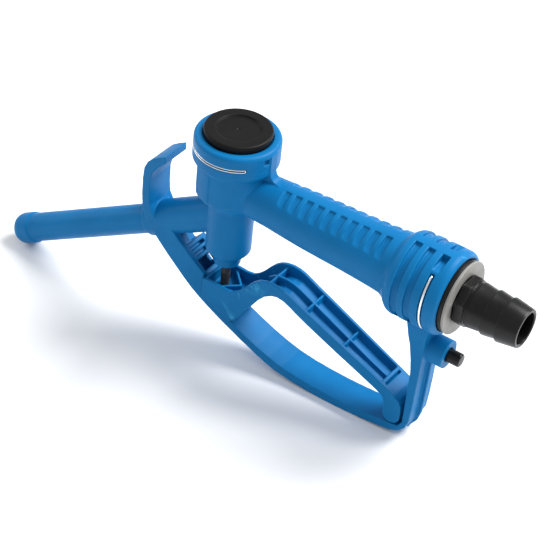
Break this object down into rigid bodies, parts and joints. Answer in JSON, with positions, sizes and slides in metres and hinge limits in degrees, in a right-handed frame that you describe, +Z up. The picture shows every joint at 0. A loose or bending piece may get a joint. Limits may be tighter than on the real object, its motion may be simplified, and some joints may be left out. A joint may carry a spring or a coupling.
{
  "type": "manual dispensing nozzle",
  "caption": "Plastic hand nozzle for a barrel pump hose, with guard and hook, squeeze lever, lift valve, slanted spout and swivelling barbed hose tail.",
  "frame": {"origin": "middle of the bounding box in X and Y, at its lowest point, which is the spout's tip", "axes": "+X runs back along the grip to the hose tail, +Z up along the valve, +Y across; the part is symmetric about Y = 0 apart from its wire clips"},
  "size_m": [0.3782, 0.0541, 0.171],
  "materials": {
    "blue": "moulded blue plastic, satin",
    "black": "moulded black plastic, satin",
    "grey": "grey low-friction plastic",
    "ivory": "natural valve plastic",
    "seal": "black seal rubber",
    "steel": "bright stainless wire"
  },
  "bodies": {
    "nozzle": {"body_moulding": "blue", "spout_tube": "blue", "spout_oring": "seal", "bonnet_plug": "black", "bonnet_oring": "seal", "bonnet_clip": "steel", "main_spring": "steel", "valve_seat": "ivory", "stem_gland": "ivory", "stem_oring": "seal", "lever_pivot_pin": "steel", "dust_ring": "black", "thrust_washer": "grey", "swivel_clip": "steel", "boss_plug": "black", "inlet_strainer": "ivory"},
    "lever": {"trigger_lever": "blue"},
    "valve": {"valve_stem": "black", "valve_poppet": "ivory", "poppet_seal": "seal"},
    "tail": {"hose_tail": "black", "swivel_oring_front": "seal", "swivel_oring_rear": "seal"}
  },
  "joints": [
    {"name": "lever_hinge", "type": "hinge", "parent": "nozzle", "child": "lever", "pos_m": [0.11849, 0, 0.02617], "axis": [0, 1, 0], "range_deg": [0, 4.15]},
    {"name": "valve_lift", "type": "slide", "parent": "nozzle", "child": "valve", "axis": [0, 0, 1], "range_m": [0, 0.0101], "stiffness_N_per_m": 1500, "springref_m": -0.008, "deforming": ["main_spring"]},
    {"name": "tail_swivel", "type": "hinge", "parent": "nozzle", "child": "tail", "pos_m": [0.13329, 0, 0.12857], "axis": [1, 0, 0], "continuous": true}
  ],
  "couplings": [
    {"joint": "valve_lift", "follows": "lever_hinge", "m_per_rad": 0.1362}
  ]
}
